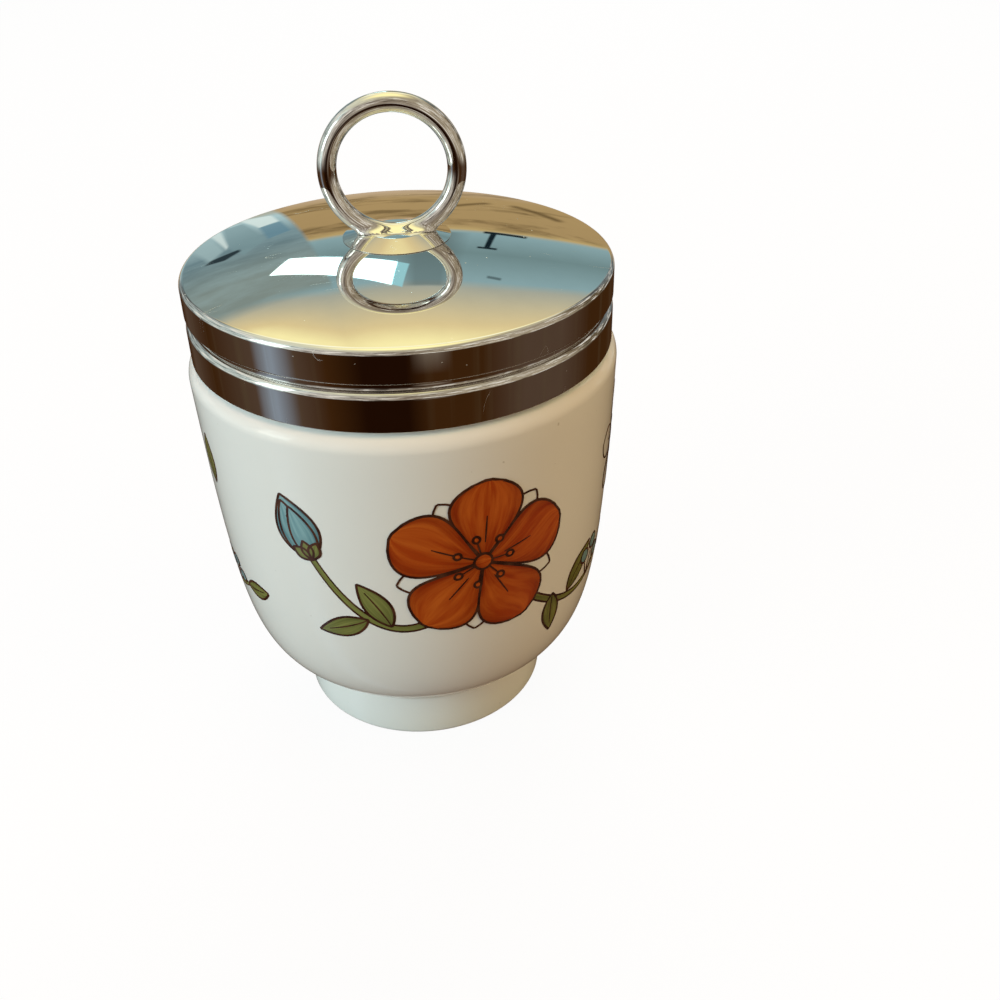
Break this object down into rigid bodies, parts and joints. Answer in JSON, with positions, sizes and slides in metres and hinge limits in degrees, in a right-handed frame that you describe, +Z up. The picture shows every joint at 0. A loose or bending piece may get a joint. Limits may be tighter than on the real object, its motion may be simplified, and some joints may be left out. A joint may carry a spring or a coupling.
{
  "type": "egg coddler",
  "caption": "Round porcelain cup on a short foot, with a screw-on domed metal lid that carries an upright ring handle.",
  "frame": {"origin": "middle of the foot's resting face", "axes": "+Z up along the axis of the cup and the lid, +X across the ring handle, which stands in the XZ plane, -Y towards the front"},
  "size_m": [0.0679, 0.0678, 0.1044],
  "materials": {
    "porcelain": "glossy clear glaze over warm white porcelain, with a coloured flower print",
    "polished_lid": "mirror polished, with fine scuffs",
    "liner_metal": "satin",
    "seal": "matt",
    "polished_handle": "mirror polished",
    "rivet_metal": "satin"
  },
  "bodies": {
    "cup": {"cup": "porcelain"},
    "seal": {"seal_washer": "seal"},
    "lid": {"lid_shell": "polished_lid", "thread_ring": "liner_metal", "handle_ring": "polished_handle", "handle_disc": "polished_handle", "handle_rivet": "rivet_metal", "backing_washer": "rivet_metal"}
  },
  "joints": [
    {"name": "lid_lift", "type": "slide", "parent": "cup", "child": "seal", "axis": [0, 0, 1], "range_m": [0, 0.016]},
    {"name": "lid_turn", "type": "hinge", "parent": "seal", "child": "lid", "pos_m": [0, 0, 0.0787], "axis": [0, 0, 1], "range_deg": [0, 1440]}
  ],
  "couplings": [
    {"joint": "lid_lift", "follows": "lid_turn", "m_per_rad": 0.00063662}
  ]
}
